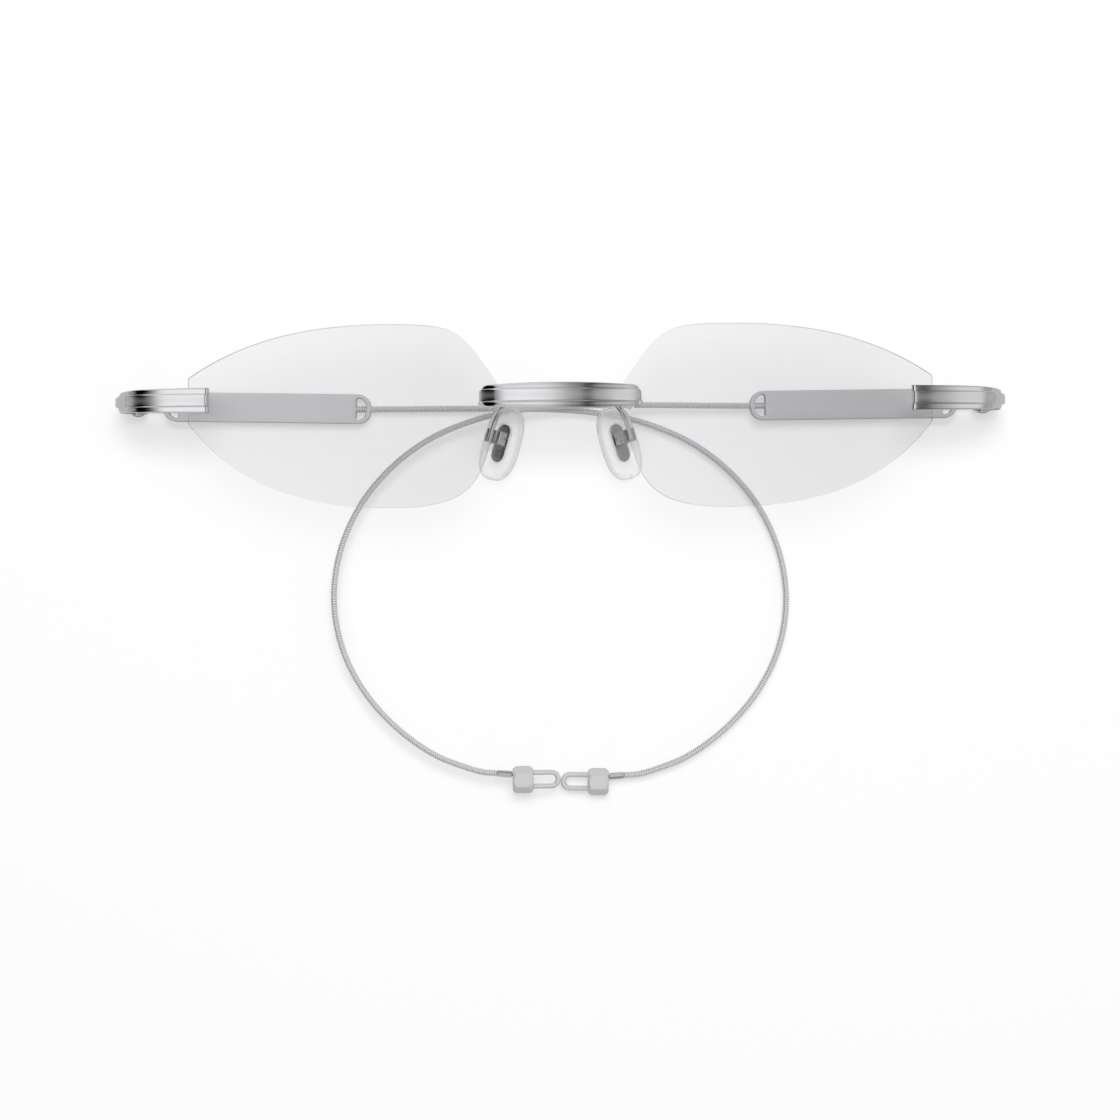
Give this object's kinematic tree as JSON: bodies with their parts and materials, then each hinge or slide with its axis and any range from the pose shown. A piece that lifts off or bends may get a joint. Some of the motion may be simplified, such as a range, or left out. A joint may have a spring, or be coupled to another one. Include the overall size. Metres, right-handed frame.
{
  "type": "rimless eyeglasses",
  "caption": "Rimless glasses with clear leaf-shaped lenses, a stepped metal bridge, silicone nose pads and folding temples that end in hooked, wound cables.",
  "frame": {"origin": "on the table, under the middle of the whole outline of the folded glasses lying face up", "axes": "+X across the front to the viewer's right, +Y up as worn, +Z from the table towards the viewer, out of the lens fronts"},
  "size_m": [0.1502, 0.0796, 0.0182],
  "materials": {
    "clear_lens": "clear and polished, with a very faint grey",
    "polished_steel": "bright polished silver metal",
    "satin_steel": "satin silver metal",
    "wound_wire": "fine wire wound tightly over a core",
    "clear_silicone": "clear, slightly milky silicone",
    "clear_nylon": "clear nylon"
  },
  "bodies": {
    "front": {"bridge": "polished_steel", "lens_left": "clear_lens", "lens_right": "clear_lens", "endpiece_left": "polished_steel", "endpiece_right": "polished_steel", "bridge_bush_left": "clear_nylon", "bridge_bush_right": "clear_nylon", "endpiece_bush_left": "clear_nylon", "endpiece_bush_right": "clear_nylon", "bridge_screw_left": "polished_steel", "bridge_screw_right": "polished_steel", "endpiece_screw_left": "polished_steel", "endpiece_screw_right": "polished_steel", "hinge_screw_left": "polished_steel", "hinge_screw_right": "polished_steel", "pad_arm_left": "polished_steel", "pad_arm_right": "polished_steel", "pad_box_left": "satin_steel", "pad_box_right": "satin_steel", "pad_screw_left": "polished_steel", "pad_screw_right": "polished_steel"},
    "left_temple": {"hinge_eye_left": "satin_steel", "temple_plate_left": "satin_steel", "temple_cable_left": "wound_wire", "ferrule_left": "polished_steel", "end_nut_left": "satin_steel", "end_eyelet_left": "satin_steel"},
    "right_temple": {"hinge_eye_right": "satin_steel", "temple_plate_right": "satin_steel", "temple_cable_right": "wound_wire", "ferrule_right": "polished_steel", "end_nut_right": "satin_steel", "end_eyelet_right": "satin_steel"},
    "left_pad": {"nose_pad_left": "clear_silicone", "pad_core_left": "satin_steel"},
    "right_pad": {"nose_pad_right": "clear_silicone", "pad_core_right": "satin_steel"}
  },
  "joints": [
    {"name": "left_temple_hinge", "type": "hinge", "parent": "front", "child": "left_temple", "pos_m": [-0.0724, 0.02728, 0.0016], "axis": [0, 1, 0], "range_deg": [0, 92]},
    {"name": "right_temple_hinge", "type": "hinge", "parent": "front", "child": "right_temple", "pos_m": [0.0724, 0.02728, 0.0016], "axis": [0, -1, 0], "range_deg": [0, 93]},
    {"name": "left_pad_rock", "type": "hinge", "parent": "front", "child": "left_pad", "pos_m": [-0.01066, 0.02119, 0.00852], "axis": [-0.7874, 0.2258, -0.5736], "range_deg": [-8, 8]},
    {"name": "right_pad_rock", "type": "hinge", "parent": "front", "child": "right_pad", "pos_m": [0.01066, 0.02119, 0.00852], "axis": [0.7874, 0.2258, -0.5736], "range_deg": [-8, 8]}
  ]
}
